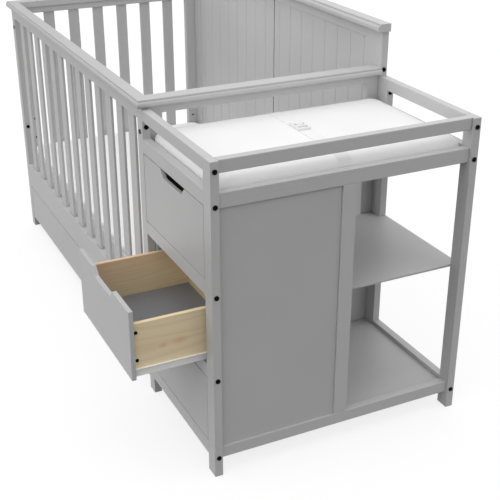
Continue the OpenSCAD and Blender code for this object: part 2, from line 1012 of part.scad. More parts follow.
bottom_drawer_rollers();
drawer_tracks();
changing_pad();
safety_belt();
bolts();
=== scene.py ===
"""A slatted crib with an attached changer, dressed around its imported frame."""

import json
import math

import bmesh
import bpy
import numpy as np
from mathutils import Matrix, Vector
from mathutils.bvhtree import BVHTree

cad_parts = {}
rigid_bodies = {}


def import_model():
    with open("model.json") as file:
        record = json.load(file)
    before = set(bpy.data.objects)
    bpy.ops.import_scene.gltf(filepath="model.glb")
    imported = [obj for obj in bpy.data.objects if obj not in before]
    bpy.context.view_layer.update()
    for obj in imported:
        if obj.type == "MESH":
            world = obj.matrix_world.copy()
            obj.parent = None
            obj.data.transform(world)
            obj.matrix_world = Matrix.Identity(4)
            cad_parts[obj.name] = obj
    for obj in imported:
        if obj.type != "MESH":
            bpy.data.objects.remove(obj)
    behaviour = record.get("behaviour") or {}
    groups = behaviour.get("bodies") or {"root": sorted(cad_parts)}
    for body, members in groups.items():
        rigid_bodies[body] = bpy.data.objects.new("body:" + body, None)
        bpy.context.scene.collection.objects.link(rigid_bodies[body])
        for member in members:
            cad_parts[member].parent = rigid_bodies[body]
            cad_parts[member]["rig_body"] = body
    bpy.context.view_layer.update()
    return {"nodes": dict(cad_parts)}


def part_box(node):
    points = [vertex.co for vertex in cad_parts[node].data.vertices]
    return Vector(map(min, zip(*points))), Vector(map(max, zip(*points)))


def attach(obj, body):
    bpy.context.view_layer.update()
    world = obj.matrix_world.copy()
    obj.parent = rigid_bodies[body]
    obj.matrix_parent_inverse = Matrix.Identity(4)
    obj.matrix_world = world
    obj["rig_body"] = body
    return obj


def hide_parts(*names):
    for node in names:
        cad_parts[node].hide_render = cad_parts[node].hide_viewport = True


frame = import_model()
scene = bpy.context.scene
MM = 0.001

# ---- The camera ----
# A product shot from above the changer's front corner, on a 71 mm lens over a
# 36 mm square frame. Its place and aim come from the object's straight edges.
camera_data = bpy.data.cameras.new("product_camera")
camera_data.lens = 71.197
camera_data.sensor_width = 36
camera_data.clip_end = 60
camera = bpy.data.objects.new("product_camera", camera_data)
camera.location = (2.8448, -1.1113, 1.6507)
camera.rotation_euler = (math.radians(64.6014), 0, math.radians(64.0619))
scene.collection.objects.link(camera)
scene.camera = camera

# ---- Painted solid wood: the crib's posts, rails, slats and caps ----
# Kiln-dried pine, planed and sanded with eased edges, then sprayed with two
# coats of grey satin lacquer. The rails are doweled and bolted to the posts.
LACQUER_GREY = "BEBEBE"
LACQUER_SHADE = "B4B4B4"
# The orange peel of the coat is finer in fact. It is drawn coarse, to show.
PEEL_MM = 5
GRAIN_ACROSS_MM = 3.5
GRAIN_ALONG_MM = 140
CLOUDS_PER_M = 6.0


def linear(hex_value):
    """An sRGB hex colour as the linear RGBA that a shader takes."""
    parts = [int(hex_value[i : i + 2], 16) / 255 for i in (0, 2, 4)]
    return [p / 12.92 if p <= 0.04045 else ((p + 0.055) / 1.055) ** 2.4
            for p in parts] + [1.0]


def feed(tree, node, sockets):
    """Gives each named input of a node its link or its value."""
    for socket, value in sockets.items():
        if isinstance(value, bpy.types.NodeSocket):
            tree.links.new(value, node.inputs[socket])
        else:
            node.inputs[socket].default_value = value


def wire(tree, kind, sockets=None, **settings):
    """Adds one node with its settings and feeds its inputs."""
    node = tree.nodes.new(kind)
    for name, value in settings.items():
        setattr(node, name, value)
    feed(tree, node, sockets or {})
    return node


def new_finish(name, coordinate="Object"):
    """A new material, its tree, its shader and the coordinates it reads."""
    finish = bpy.data.materials.new(name)
    finish.use_nodes = True
    tree = finish.node_tree
    place = wire(tree, "ShaderNodeTexCoord").outputs[coordinate]
    return finish, tree, tree.nodes["Principled BSDF"], place


def grain_scale(axis, along_mm, across_mm):
    scale = [1 / (across_mm * MM)] * 3
    scale["XYZ".index(axis)] = 1 / (along_mm * MM)
    return scale


def lacquered_wood(name, axis):
    """Satin lacquer over pine: a soft gloss, with the grain just telegraphing."""
    finish, tree, surface, place = new_finish(name)
    stretched = wire(tree, "ShaderNodeMapping", {
        "Vector": place,
        "Scale": grain_scale(axis, GRAIN_ALONG_MM, GRAIN_ACROSS_MM)})
    grain = wire(tree, "ShaderNodeTexNoise", {
        "Vector": stretched.outputs["Vector"], "Scale": 1.0, "Detail": 4.0,
        "Roughness": 0.6, "Distortion": 0.5})
    peel = wire(tree, "ShaderNodeTexNoise", {
        "Vector": place, "Scale": 1 / (PEEL_MM * MM), "Detail": 1.0})
    cloudy = wire(tree, "ShaderNodeTexNoise", {
        "Vector": place, "Scale": CLOUDS_PER_M, "Detail": 2.0})
    tone = wire(tree, "ShaderNodeMath", {
        0: cloudy.outputs["Fac"], 1: grain.outputs["Fac"]}, operation="MULTIPLY")
    colour = wire(tree, "ShaderNodeMix", {
        0: tone.outputs["Value"], 6: linear(LACQUER_GREY), 7: linear(LACQUER_SHADE)},
        data_type="RGBA")
    gloss = wire(tree, "ShaderNodeMapRange", {
        "Value": peel.outputs["Fac"], "To Min": 0.36, "To Max": 0.48})
    pores = wire(tree, "ShaderNodeBump", {
        "Strength": 0.10, "Distance": 0.4 * MM, "Height": grain.outputs["Fac"]})
    skin = wire(tree, "ShaderNodeBump", {
        "Strength": 0.05, "Distance": 0.3 * MM, "Height": peel.outputs["Fac"],
        "Normal": pores.outputs["Normal"]})
    feed(tree, surface, {
        "Base Color": colour.outputs[2], "Roughness": gloss.outputs["Result"],
        "Normal": skin.outputs["Normal"]})
    return finish


wood_x = lacquered_wood("grey_lacquer_on_pine_x", "X")
wood_y = lacquered_wood("grey_lacquer_on_pine_y", "Y")
wood_z = lacquered_wood("grey_lacquer_on_pine_z", "Z")


def placed(name, mesh):
    piece = bpy.data.objects.new(name, mesh)
    scene.collection.objects.link(piece)
    return piece


def show(name, mesh, body, stands_for=()):
    """A finished piece, which rides on its body and hides what it stands for."""
    piece = placed(name, mesh)
    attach(piece, body)
    if stands_for:
        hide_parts(*stands_for)
    return piece


def settled_mesh(piece):
    """The evaluated mesh of a piece as a plain mesh; the working piece goes."""
    bpy.context.view_layer.update()
    graph = bpy.context.evaluated_depsgraph_get()
    mesh = bpy.data.meshes.new_from_object(piece.evaluated_get(graph), depsgraph=graph)
    old = piece.data
    bpy.data.objects.remove(piece)
    bpy.data.meshes.remove(old)
    return mesh


def coated(mesh, finish):
    mesh.materials.clear()
    mesh.materials.append(finish)
    return mesh


DOUBLES_MM = 0.02
SHORT_EDGE_MM = 6
FLAT_DEGREES = 0.4
SMOOTH_DEGREES = 3


def merged(mesh):
    """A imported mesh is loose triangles; this is a joined copy to work on."""
    shape = bmesh.new()
    shape.from_mesh(mesh)
    bmesh.ops.remove_doubles(shape, verts=shape.verts, dist=DOUBLES_MM * MM)
    return shape


def eased_mesh(mesh, radius_mm, steps=2, corner=38):
    """Rounds the long arrises of a board, as a sanding block does."""
    shape = merged(mesh)
    bmesh.ops.dissolve_limit(
        shape, angle_limit=math.radians(FLAT_DEGREES), verts=shape.verts,
        edges=shape.edges)
    bare = bpy.data.meshes.new("board")
    shape.to_mesh(bare)
    weights = []
    for edge in shape.edges:
        keen = (len(edge.link_faces) == 2
                and edge.calc_face_angle() > math.radians(corner)
                and edge.calc_length() > SHORT_EDGE_MM * MM)
        weights.append(float(keen))
    shape.free()
    for name in [a.name for a in bare.attributes if a.name == "custom_normal"]:
        bare.attributes.remove(bare.attributes[name])
    layer = bare.attributes.new("bevel_weight_edge", "FLOAT", "EDGE")
    layer.data.foreach_set("value", weights)
    bare.shade_smooth()
    bare.set_sharp_from_angle(angle=math.radians(corner - SMOOTH_DEGREES))
    piece = placed("board", bare)
    bevel = piece.modifiers.new("eased", "BEVEL")
    bevel.limit_method = "WEIGHT"
    bevel.width = radius_mm * MM
    bevel.segments = steps
    bevel.harden_normals = True
    return settled_mesh(piece)


def board(node, radius_mm, finish, steps=2):
    """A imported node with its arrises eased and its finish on."""
    source = frame["nodes"][node]
    mesh = coated(eased_mesh(source.data, radius_mm, steps), finish)
    show("eased_" + node, mesh, source["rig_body"], [node])


for node in ("front_left_post", "front_right_post", "back_left_post",
             "back_right_post"):
    board(node, 1.8, wood_z)
board("front_top_rail", 1.5, wood_x)
board("front_bottom_rail", 2.0, wood_x)
for node in ("front_slats", "left_end_slats", "right_end_slats"):
    board(node, 2.5, wood_z, steps=3)
board("left_end_frame", 1.8, wood_z)
board("right_end_frame", 1.8, wood_z)
board("front_cap", 2.4, wood_x, steps=3)
board("end_caps", 2.4, wood_y, steps=3)
board("back_frame", 1.6, wood_x)
board("back_crown", 1.8, wood_x, steps=3)

# ---- Changer frame: posts and rails ----
# The same sprayed pine as the crib, in square posts with rails let in between
# them. The guard rails round the pad have softer arrises for small hands.
for node in ("changer_front_post", "changer_back_post", "changer_inner_post",
             "centre_stile"):
    board(node, 1.8, wood_z)
board("guard_rails", 2.2, wood_x, steps=3)
board("drawer_rails", 1.4, wood_x)
board("back_lower_rails", 1.4, wood_x)
board("end_rails", 1.6, wood_y)
board("shelf_cleats", 1.0, wood_x)

# ---- Painted sheet board: end panel, partitions, tray and shelves ----
# Medium-density fibreboard, sprayed with the same lacquer and let into the
# changer's posts and rails.
SHEET_PEEL_MM = 7
SHEET_CLOUDS_PER_M = 4.0


def lacquered_sheet(name):
    """Lacquer on fibreboard: no grain, so the coat lies flatter than on wood."""
    finish, tree, surface, place = new_finish(name)
    peel = wire(tree, "ShaderNodeTexNoise", {
        "Vector": place, "Scale": 1 / (SHEET_PEEL_MM * MM), "Detail": 1.0})
    cloudy = wire(tree, "ShaderNodeTexNoise", {
        "Vector": place, "Scale": SHEET_CLOUDS_PER_M, "Detail": 2.0,
        "Roughness": 0.4})
    faint = wire(tree, "ShaderNodeMapRange", {
        "Value": cloudy.outputs["Fac"], "From Min": 0.3, "From Max": 0.7,
        "To Min": 0.0, "To Max": 0.45})
    colour = wire(tree, "ShaderNodeMix", {
        0: faint.outputs["Result"], 6: linear(LACQUER_GREY),
        7: linear(LACQUER_SHADE)}, data_type="RGBA")
    gloss = wire(tree, "ShaderNodeMapRange", {
        "Value": peel.outputs["Fac"], "To Min": 0.36, "To Max": 0.44})
    skin = wire(tree, "ShaderNodeBump", {
        "Strength": 0.04, "Distance": 0.3 * MM, "Height": peel.outputs["Fac"]})
    feed(tree, surface, {
        "Base Color": colour.outputs[2], "Roughness": gloss.outputs["Result"],
        "Normal": skin.outputs["Normal"], "Specular IOR Level": 0.28})
    return finish


sheet_board = lacquered_sheet("grey_lacquer_on_fibreboard")
for node in ("end_panel", "partition", "inner_side_panel", "changer_tray",
             "bottom_shelf", "middle_shelf"):
    board(node, 1.0, sheet_board)

# ---- Beadboard sheets of the crib's back ----
# Two grooved sheets of fibreboard, rabbeted together. The wide dark line of
# the seam is stronger than the grooves: its edges are planed back a little.
SEAM_X_MM = -188.5
SEAM_REACH_MM = 2
SEAM_PLANED_MM = 1.8
source = frame["nodes"]["back_panels"]
beaded = source.data.copy()
for vert in beaded.vertices:
    off = vert.co.x - SEAM_X_MM * MM
    if abs(off) < SEAM_REACH_MM * MM:
        vert.co.x += math.copysign(SEAM_PLANED_MM * MM, off)
show("eased_back_panels", coated(eased_mesh(beaded, 0.6), sheet_board),
     source["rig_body"], ["back_panels"])

# ---- Drawer fronts ----
# Lacquered fibreboard with softly rounded edges. The changer's three fronts
# have a dip cut in the top edge for the fingers, and none has a handle.
DRAWERS = ("top_drawer", "middle_drawer", "bottom_drawer", "crib_drawer")
for drawer in DRAWERS:
    board(drawer + "_front", 1.6, sheet_board, steps=3)

# ---- Drawer boxes ----
# Sides and back of plain-sawn pine, sanded and left unpainted. Each board is
# cut along its grain and butted to the next one.
PINE_LIGHT = "F3E3C2"
PINE_MAIN = "EEDBB5"
PINE_LATE = "E2C59B"
PINE_HEART = "E6BD9A"
PINE_STREAK = "DFA67C"
LOG_ALONG_MM = 900
LOG_ACROSS_MM = 100
RING_MM = 9
PORE_ALONG_MM = 60
PORE_ACROSS_MM = 1.2
# Resin streaks on the middle drawer's side: the middle and the half-lengths.
STREAKS_MM = (((874.5, -345, 406), (20, 32, 14)),
              ((874.5, -390, 402), (20, 16, 9)))


def bare_pine(name, axis, heart):
    """Sanded pine: long pale flames where the rings meet the face, and pores."""
    finish, tree, surface, place = new_finish(name)
    log = wire(tree, "ShaderNodeMapping", {
        "Vector": place, "Location": heart,
        "Scale": grain_scale(axis, LOG_ALONG_MM, LOG_ACROSS_MM)})
    wander = wire(tree, "ShaderNodeTexNoise", {
        "Vector": log.outputs["Vector"], "Scale": 0.9, "Detail": 2.0,
        "Roughness": 0.45})
    bent = wire(tree, "ShaderNodeVectorMath", {
        0: log.outputs["Vector"], 1: wander.outputs["Color"]}, operation="ADD")
    flat = wire(tree, "ShaderNodeVectorMath", {
        0: bent.outputs["Vector"],
        1: [0.0 if a == axis else 1.0 for a in "XYZ"]}, operation="MULTIPLY")
    reach = wire(tree, "ShaderNodeVectorMath", {
        0: flat.outputs["Vector"]}, operation="LENGTH")
    turns = wire(tree, "ShaderNodeMath", {
        0: reach.outputs["Value"], 1: LOG_ACROSS_MM / RING_MM}, operation="MULTIPLY")
    ring = wire(tree, "ShaderNodeMath", {0: turns.outputs["Value"]},
                operation="FRACT")
    ramp = wire(tree, "ShaderNodeValToRGB", {"Fac": ring.outputs["Value"]})
    stops = ramp.color_ramp.elements
    stops[0].position, stops[0].color = 0.0, linear(PINE_MAIN)
    stops[1].position, stops[1].color = 1.0, linear(PINE_MAIN)
    for position, colour in ((0.35, PINE_LIGHT), (0.80, PINE_LATE), (0.88, PINE_MAIN)):
        stops.new(position).color = linear(colour)
    patches = wire(tree, "ShaderNodeTexNoise", {
        "Vector": log.outputs["Vector"], "Scale": 1.3, "Detail": 1.0})
    warm = wire(tree, "ShaderNodeMapRange", {
        "Value": patches.outputs["Fac"], "From Min": 0.52, "From Max": 0.75,
        "To Min": 0.0, "To Max": 0.5})
    figured = wire(tree, "ShaderNodeMix", {
        0: 0.4, 6: linear(PINE_MAIN), 7: ramp.outputs["Color"]}, data_type="RGBA")
    wood = wire(tree, "ShaderNodeMix", {
        0: warm.outputs["Result"], 6: figured.outputs[2], 7: linear(PINE_HEART)},
        data_type="RGBA")
    strands = wire(tree, "ShaderNodeMapping", {
        "Vector": place, "Scale": grain_scale(axis, PORE_ALONG_MM, PORE_ACROSS_MM)})
    pores = wire(tree, "ShaderNodeTexNoise", {
        "Vector": strands.outputs["Vector"], "Scale": 1.0, "Detail": 3.0})
    for centre, half in STREAKS_MM:
        around = wire(tree, "ShaderNodeMapping", {
            "Vector": place, "Location": [-c / h for c, h in zip(centre, half)],
            "Scale": [1 / (h * MM) for h in half]})
        off = wire(tree, "ShaderNodeVectorMath", {
            0: around.outputs["Vector"]}, operation="LENGTH")
        ragged = wire(tree, "ShaderNodeMath", {
            0: off.outputs["Value"], 1: pores.outputs["Fac"]}, operation="ADD")
        stain = wire(tree, "ShaderNodeMapRange", {
            "Value": ragged.outputs["Value"], "From Min": 0.6, "From Max": 1.4,
            "To Min": 0.55, "To Max": 0.0})
        wood = wire(tree, "ShaderNodeMix", {
            0: stain.outputs["Result"], 6: wood.outputs[2], 7: linear(PINE_STREAK)},
            data_type="RGBA")
    relief = wire(tree, "ShaderNodeBump", {
        "Strength": 0.25, "Distance": 0.2 * MM, "Height": pores.outputs["Fac"]})
    feed(tree, surface, {
        "Base Color": wood.outputs[2], "Normal": relief.outputs["Normal"],
        "Roughness": 0.62, "Specular IOR Level": 0.3})
    return finish


pine_y = bare_pine("sanded_pine_lengthways", "Y", (0.35, 0.0, 0.9))
pine_x = bare_pine("sanded_pine_crossways", "X", (0.0, 0.3, 0.7))


def box_mesh(low, high):
    shape = bmesh.new()
    bmesh.ops.create_cube(shape, size=1)
    middle = (Vector(low) + Vector(high)) / 2
    size = Vector(high) - Vector(low)
    for vert in shape.verts:
        vert.co = Vector([vert.co[i] * size[i] for i in range(3)]) + middle
    mesh = bpy.data.meshes.new("cut_board")
    shape.to_mesh(mesh)
    shape.free()
    return mesh


def joined(parts):
    """One mesh from (mesh, finish) pairs, with a material index for each."""
    whole = bmesh.new()
    finishes = []
    for mesh, finish in parts:
        if finish not in finishes:
            finishes.append(finish)
        start = len(whole.faces)
        whole.from_mesh(mesh)
        whole.faces.ensure_lookup_table()
        for face in whole.faces[start:]:
            face.material_index = finishes.index(finish)
    out = bpy.data.meshes.new("joined")
    whole.to_mesh(out)
    whole.free()
    for finish in finishes:
        out.materials.append(finish)
    return out


SIDE_MM = 12
SIDE_EASED_MM = 1.8
BACK_EASED_MM = 1.2
for drawer in DRAWERS:
    low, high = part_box(drawer + "_box")
    left_in, right_in = low.x + SIDE_MM * MM, high.x - SIDE_MM * MM
    left = box_mesh(low, (left_in, high.y, high.z))
    right = box_mesh((right_in, low.y, low.z), high)
    back = box_mesh((left_in, high.y - SIDE_MM * MM, low.z),
                    (right_in, high.y, high.z))
    show(drawer + "_pine_boards", joined([
        (eased_mesh(left, SIDE_EASED_MM), pine_y),
        (eased_mesh(right, SIDE_EASED_MM), pine_y),
        (eased_mesh(back, BACK_EASED_MM), pine_x)]), drawer, [drawer + "_box"])

# ---- Drawer bottoms ----
# Thin fibreboard with a dark grey melamine paper face, slid into grooves in
# the sides.
BOTTOM_GREY = "8B8D93"
BOTTOM_SHADE = "828489"
# The paper's linen tooth is finer in fact. It is drawn coarse, to show.
TOOTH_MM = 3


def mottled(name, spots_per_m, detail, tones, sockets, takes="Base Color"):
    """A finish in two near tones, which a fine noise spreads over it."""
    finish, tree, surface, place = new_finish(name)
    spots = wire(tree, "ShaderNodeTexNoise", {
        "Vector": place, "Scale": spots_per_m, "Detail": detail}).outputs["Fac"]
    tint = wire(tree, "ShaderNodeMix", {
        0: spots, 6: linear(tones[0]), 7: linear(tones[1])}, data_type="RGBA")
    feed(tree, surface, {takes: tint.outputs[2], **sockets})
    return finish, tree, surface, spots


def melamine():
    """Printed melamine paper: an even dark grey with a dull, toothed gloss."""
    finish, tree, surface, tooth = mottled(
        "dark_grey_melamine", 1 / (TOOTH_MM * MM), 3.0, (BOTTOM_GREY, BOTTOM_SHADE),
        {"Roughness": 0.5})
    relief = wire(tree, "ShaderNodeBump", {
        "Strength": 0.1, "Distance": 0.2 * MM, "Height": tooth})
    feed(tree, surface, {"Normal": relief.outputs["Normal"]})
    return finish


grey_melamine = melamine()
for drawer in DRAWERS:
    board(drawer + "_bottom", 0.5, grey_melamine)

# ---- Runners, rollers, tracks and mattress brackets ----
# Roll-formed steel strip in white powder coat, screwed to the drawer boxes,
# the posts and the end frames. The rollers are moulded from white nylon.
POWDER_WHITE = "F7F7F6"
POWDER_SHADE = "ECECEA"
# The coat's pebbles are finer in fact. They are drawn coarse, to show.
PEBBLE_MM = 2.5


def powder_coat():
    """Powder coat: thick and glossy, with a fine pebbled skin."""
    finish, tree, surface, place = new_finish("white_powder_coated_steel")
    pebble = wire(tree, "ShaderNodeTexVoronoi", {
        "Vector": place, "Scale": 1 / (PEBBLE_MM * MM)},
        feature="SMOOTH_F1").outputs["Distance"]
    tint = wire(tree, "ShaderNodeMix", {
        0: pebble, 6: linear(POWDER_WHITE), 7: linear(POWDER_SHADE)},
        data_type="RGBA")
    relief = wire(tree, "ShaderNodeBump", {
        "Strength": 0.12, "Distance": 0.2 * MM, "Height": pebble})
    feed(tree, surface, {
        "Base Color": tint.outputs[2], "Normal": relief.outputs["Normal"],
        "Roughness": 0.34})
    return finish


white_steel = powder_coat()
# Moulded nylon is slightly waxy, and light goes a little way into it.
white_nylon, *_ = mottled(
    "moulded_white_nylon", 350.0, 2.0, ("F1F1EE", "E6E6E2"),
    {"Roughness": 0.42, "Subsurface Weight": 0.08,
     "Subsurface Radius": (2 * MM, 2 * MM, 2 * MM)})
LEDGE_MM = 6
LEDGE_GAP_MM = 0.05
LEDGE_LOW_MM = 0.3
STEEL_MM = 1.5
STEEL_EASED_MM = 0.35
for drawer in DRAWERS:
    low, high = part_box(drawer + "_box")
    foot = low.z + LEDGE_LOW_MM * MM
    runner = frame["nodes"][drawer + "_runners"].data
    strips = [(eased_mesh(runner, STEEL_EASED_MM), white_steel)]
    for x, way in ((low.x, -1), (high.x, 1)):
        near, far = sorted((x + way * LEDGE_GAP_MM * MM, x + way * LEDGE_MM * MM))
        ledge = box_mesh((near, low.y, foot), (far, high.y, foot + STEEL_MM * MM))
        strips.append((eased_mesh(ledge, STEEL_EASED_MM), white_steel))
    show("eased_" + drawer + "_runners", joined(strips), drawer,
         [drawer + "_runners"])
    board(drawer + "_rollers", 0.5, white_nylon)
board("drawer_tracks", STEEL_EASED_MM, white_steel)
board("crib_drawer_tracks", STEEL_EASED_MM, white_steel)
board("support_brackets", 0.6, white_steel)

# ---- Mattress support ----
# A ring of sanded pine rails with thin pine slats dropped in between, which
# rests on four steel brackets.
board("mattress_frame", 1.5, pine_x)
board("mattress_slats", 1.2, pine_y)

# ---- Frame bolts ----
# Steel socket-head bolts in black oxide, driven through the posts into the
# rails. Each head stands on the face of its post.
OXIDE_BLACK = "0D0D0F"
OXIDE_RUBBED = "1B1B1E"


def black_oxide():
    """Black oxide on steel: nearly black and a little glossy, rubbed paler."""
    finish, tree, surface, rub = mottled(
        "black_oxide_steel", 500.0, 3.0, (OXIDE_BLACK, OXIDE_RUBBED),
        {"Metallic": 1.0})
    gloss = wire(tree, "ShaderNodeMapRange", {
        "Value": rub, "To Min": 0.3, "To Max": 0.5})
    feed(tree, surface, {"Roughness": gloss.outputs["Result"]})
    return finish


black_steel = black_oxide()
board("bolts", 0.3, black_steel)

# ---- Bolts in the drawer sides ----
# Each side of a changer drawer is bolted near its front with two round-headed
# socket bolts of black oxide steel, an even way in from its edges.
CROWN_SHARE = 0.8
KEY_SHARE = 0.45
KEY_LIFT = 0.7


def new_tree(name, inputs):
    """A geometry tree with one geometry in and out and the named inputs."""
    tree = bpy.data.node_groups.new(name, "GeometryNodeTree")
    face = tree.interface
    for way in ("OUTPUT", "INPUT"):
        face.new_socket("Geometry", in_out=way, socket_type="NodeSocketGeometry")
    for label, kind in inputs:
        face.new_socket(label, in_out="INPUT", socket_type="NodeSocket" + kind)
    face.new_socket("Finish", in_out="INPUT", socket_type="NodeSocketMaterial")
    return tree, tree.nodes.new("NodeGroupInput").outputs


def end_tree(tree, given, geometry):
    """Ends a tree with real geometry in the finish that it is given."""
    real = wire(tree, "GeometryNodeRealizeInstances", {"Geometry": geometry})
    dressed = wire(tree, "GeometryNodeSetMaterial", {
        "Geometry": real.outputs["Geometry"], "Material": given["Finish"]})
    wire(tree, "NodeGroupOutput", {"Geometry": dressed.outputs["Geometry"]})
    return tree


def grown(source, tree, values):
    """Runs a tree on a working mesh and returns the result as a plain mesh."""
    piece = placed("working", source)
    grow = piece.modifiers.new("grow", "NODES")
    grow.node_group = tree
    for item in tree.interface.items_tree:
        if item.in_out == "INPUT" and item.name in values:
            grow[item.identifier] = values[item.name]
    return settled_mesh(piece)


def screw_tree():
    """A domed head with a hex socket on every point, facing its own way."""
    tree, given = new_tree("screw_heads", [
        ("Head radius", "Float"), ("Head height", "Float")])
    rim, tall = given["Head radius"], given["Head height"]
    crown = wire(tree, "ShaderNodeMath", {0: rim, 1: CROWN_SHARE},
                 operation="MULTIPLY")
    key = wire(tree, "ShaderNodeMath", {0: rim, 1: KEY_SHARE}, operation="MULTIPLY")
    head = wire(tree, "GeometryNodeMeshCone", {
        "Vertices": 20, "Radius Top": crown.outputs["Value"], "Radius Bottom": rim,
        "Depth": tall})
    socket = wire(tree, "GeometryNodeMeshCylinder", {
        "Vertices": 6, "Radius": key.outputs["Value"], "Depth": tall})
    lift = wire(tree, "ShaderNodeCombineXYZ", {"Z": tall})
    half = wire(tree, "ShaderNodeVectorMath", {
        0: lift.outputs["Vector"], "Scale": KEY_LIFT}, operation="SCALE")
    raised = wire(tree, "GeometryNodeTransform", {
        "Geometry": socket.outputs["Mesh"], "Translation": half.outputs["Vector"]})
    cut = wire(tree, "GeometryNodeMeshBoolean", {
        "Mesh 1": head.outputs["Mesh"], "Mesh 2": raised.outputs["Geometry"]},
        operation="DIFFERENCE")
    facing = wire(tree, "GeometryNodeInputNamedAttribute", {"Name": "facing"},
                  data_type="FLOAT_VECTOR")
    turn = wire(tree, "FunctionNodeAlignRotationToVector", {
        "Vector": facing.outputs["Attribute"]}, axis="Z")
    spread = wire(tree, "GeometryNodeInstanceOnPoints", {
        "Points": given["Geometry"], "Instance": cut.outputs["Mesh"],
        "Rotation": turn.outputs["Rotation"]})
    return end_tree(tree, given, spread.outputs["Instances"])


screws = screw_tree()


def set_screws(name, body, seats, radius_mm, height_mm):
    """Black heads on (point, direction) pairs, both in the row frame."""
    points = bpy.data.meshes.new("seats")
    points.from_pydata([point for point, _ in seats], [], [])
    layer = points.attributes.new("facing", "FLOAT_VECTOR", "POINT")
    layer.data.foreach_set("vector", [x for _, way in seats for x in way])
    show(name, grown(points, screws, {
        "Head radius": radius_mm * MM, "Head height": height_mm * MM,
        "Finish": black_steel}), body)


SIDE_BOLT_IN_MM = 24.5
SIDE_BOLT_BACK_MM = 6.4
SIDE_BOLT_PROUD_MM = 0.6
for drawer in DRAWERS[:3]:
    low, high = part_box(drawer + "_box")
    seats = [((x + way * SIDE_BOLT_PROUD_MM * MM, low.y + SIDE_BOLT_BACK_MM * MM, z),
              (way, 0, 0))
             for x, way in ((low.x, -1), (high.x, 1))
             for z in (low.z + SIDE_BOLT_IN_MM * MM, high.z - SIDE_BOLT_IN_MM * MM)]
    set_screws(drawer + "_side_bolts", drawer, seats, 4.9, 2.2)

# ---- Inner post bolt and height inserts ----
# One bolt head more on the changer's inner back post, and a threaded black
# insert in each hole that the end stiles have for the other mattress heights.
POST_BOLT_UP_MM = 836
POST_BOLT_PROUD_MM = 0.4
INSERT_UPS_MM = (290, 372, 448)
INSERT_SUNK_MM = 1.2
STILE_HALF_MM = 19
low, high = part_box("changer_inner_post")
seat = (high.x + POST_BOLT_PROUD_MM * MM, (low.y + high.y) / 2, POST_BOLT_UP_MM * MM)
set_screws("inner_post_bolt", "crib_frame", [(seat, (1, 0, 0))], 6.3, 2.4)
seats = []
for node, way in (("left_end_frame", 1), ("right_end_frame", -1)):
    low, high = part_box(node)
    x = (high.x if way > 0 else low.x) - way * INSERT_SUNK_MM * MM
    for y in (low.y + STILE_HALF_MM * MM, high.y - STILE_HALF_MM * MM):
        seats += [((x, y, up * MM), (way, 0, 0)) for up in INSERT_UPS_MM]
set_screws("height_inserts", "crib_frame", seats, 3.9, 1.6)

# ---- Changing pad ----
# A foam pad in a wipe-clean white cover of coated polyester, which lies loose
# in the tray. It swells between its seams and its top edge is rolled off.
COVER_WHITE = "E0E0E0"
CLOTH_TINT = "E6E6E6"
# The threads are finer in fact. They are drawn coarse, to show.
WEAVE_MM = 2.2
RIPPLES_PER_M = 9.0


def white_cloth(name, hex_value, roughness, painted_glow):
    """White cloth, with a faint painted glow of its own that lifts its shaded sides."""
    finish, tree, surface, place = new_finish(name)
    threads = wire(tree, "ShaderNodeVectorMath", {
        0: place, "Scale": 1 / (WEAVE_MM * MM)}, operation="SCALE")
    cells = wire(tree, "ShaderNodeTexVoronoi", {
        "Vector": threads.outputs["Vector"], "Scale": 1.0, "Randomness": 0.25})
    slow = wire(tree, "ShaderNodeTexNoise", {
        "Vector": place, "Scale": RIPPLES_PER_M, "Detail": 3.0})
    tint = wire(tree, "ShaderNodeMix", {
        0: slow.outputs["Fac"], 6: linear(hex_value), 7: linear(CLOTH_TINT)},
        data_type="RGBA")
    ripple = wire(tree, "ShaderNodeBump", {
        "Strength": 0.25, "Distance": 2.0 * MM, "Height": slow.outputs["Fac"]})
    weave = wire(tree, "ShaderNodeBump", {
        "Strength": 0.12, "Distance": 0.3 * MM, "Height": cells.outputs["Distance"],
        "Normal": ripple.outputs["Normal"]})
    # The white emission is a painted glow, which lightens the cloth where it lies in
    # shade.
    feed(tree, surface, {
        "Base Color": tint.outputs[2], "Normal": weave.outputs["Normal"],
        "Roughness": roughness, "Sheen Weight": 0.08,
        "Emission Color": (1, 1, 1, 1), "Emission Strength": painted_glow})
    return finish


def vertex_places(mesh):
    flat = np.empty(len(mesh.vertices) * 3)
    mesh.vertices.foreach_get("co", flat)
    return flat.reshape(-1, 3)


def loose_skin(node, voxel_mm, shrink_mm):
    """A cushion's skin in even faces, a little smaller than the cushion."""
    shape = merged(frame["nodes"][node].data)
    mesh = bpy.data.meshes.new("skin")
    shape.to_mesh(mesh)
    shape.free()
    low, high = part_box(node)
    middle, size = (low + high) / 2, high - low
    for vert in mesh.vertices:
        for i in range(3):
            share = 1 - 2 * shrink_mm * MM / size[i]
            vert.co[i] = middle[i] + (vert.co[i] - middle[i]) * share
    piece = placed("cover", mesh)
    remesh = piece.modifiers.new("voxels", "REMESH")
    remesh.mode = "VOXEL"
    remesh.voxel_size = voxel_mm * MM
    remesh.use_smooth_shade = True
    return settled_mesh(piece)


CLOTH_FRAMES = 20
CLOTH_MASS = 0.3
CLOTH_STIFFNESS = 40


def inflated(mesh, pressure):
    """The skin after a short cloth simulation with air inside."""
    piece = placed("cover", mesh)
    cloth = piece.modifiers.new("cloth", "CLOTH")
    cloth.settings.use_pressure = True
    cloth.settings.uniform_pressure_force = pressure
    cloth.settings.mass = CLOTH_MASS
    cloth.settings.tension_stiffness = CLOTH_STIFFNESS
    cloth.settings.compression_stiffness = CLOTH_STIFFNESS
    cloth.settings.effector_weights.gravity = 0
    cloth.point_cache.frame_start = 1
    cloth.point_cache.frame_end = CLOTH_FRAMES
    for step in range(1, CLOTH_FRAMES + 1):
        scene.frame_set(step)
    mesh = settled_mesh(piece)
    scene.frame_set(1)
    return mesh


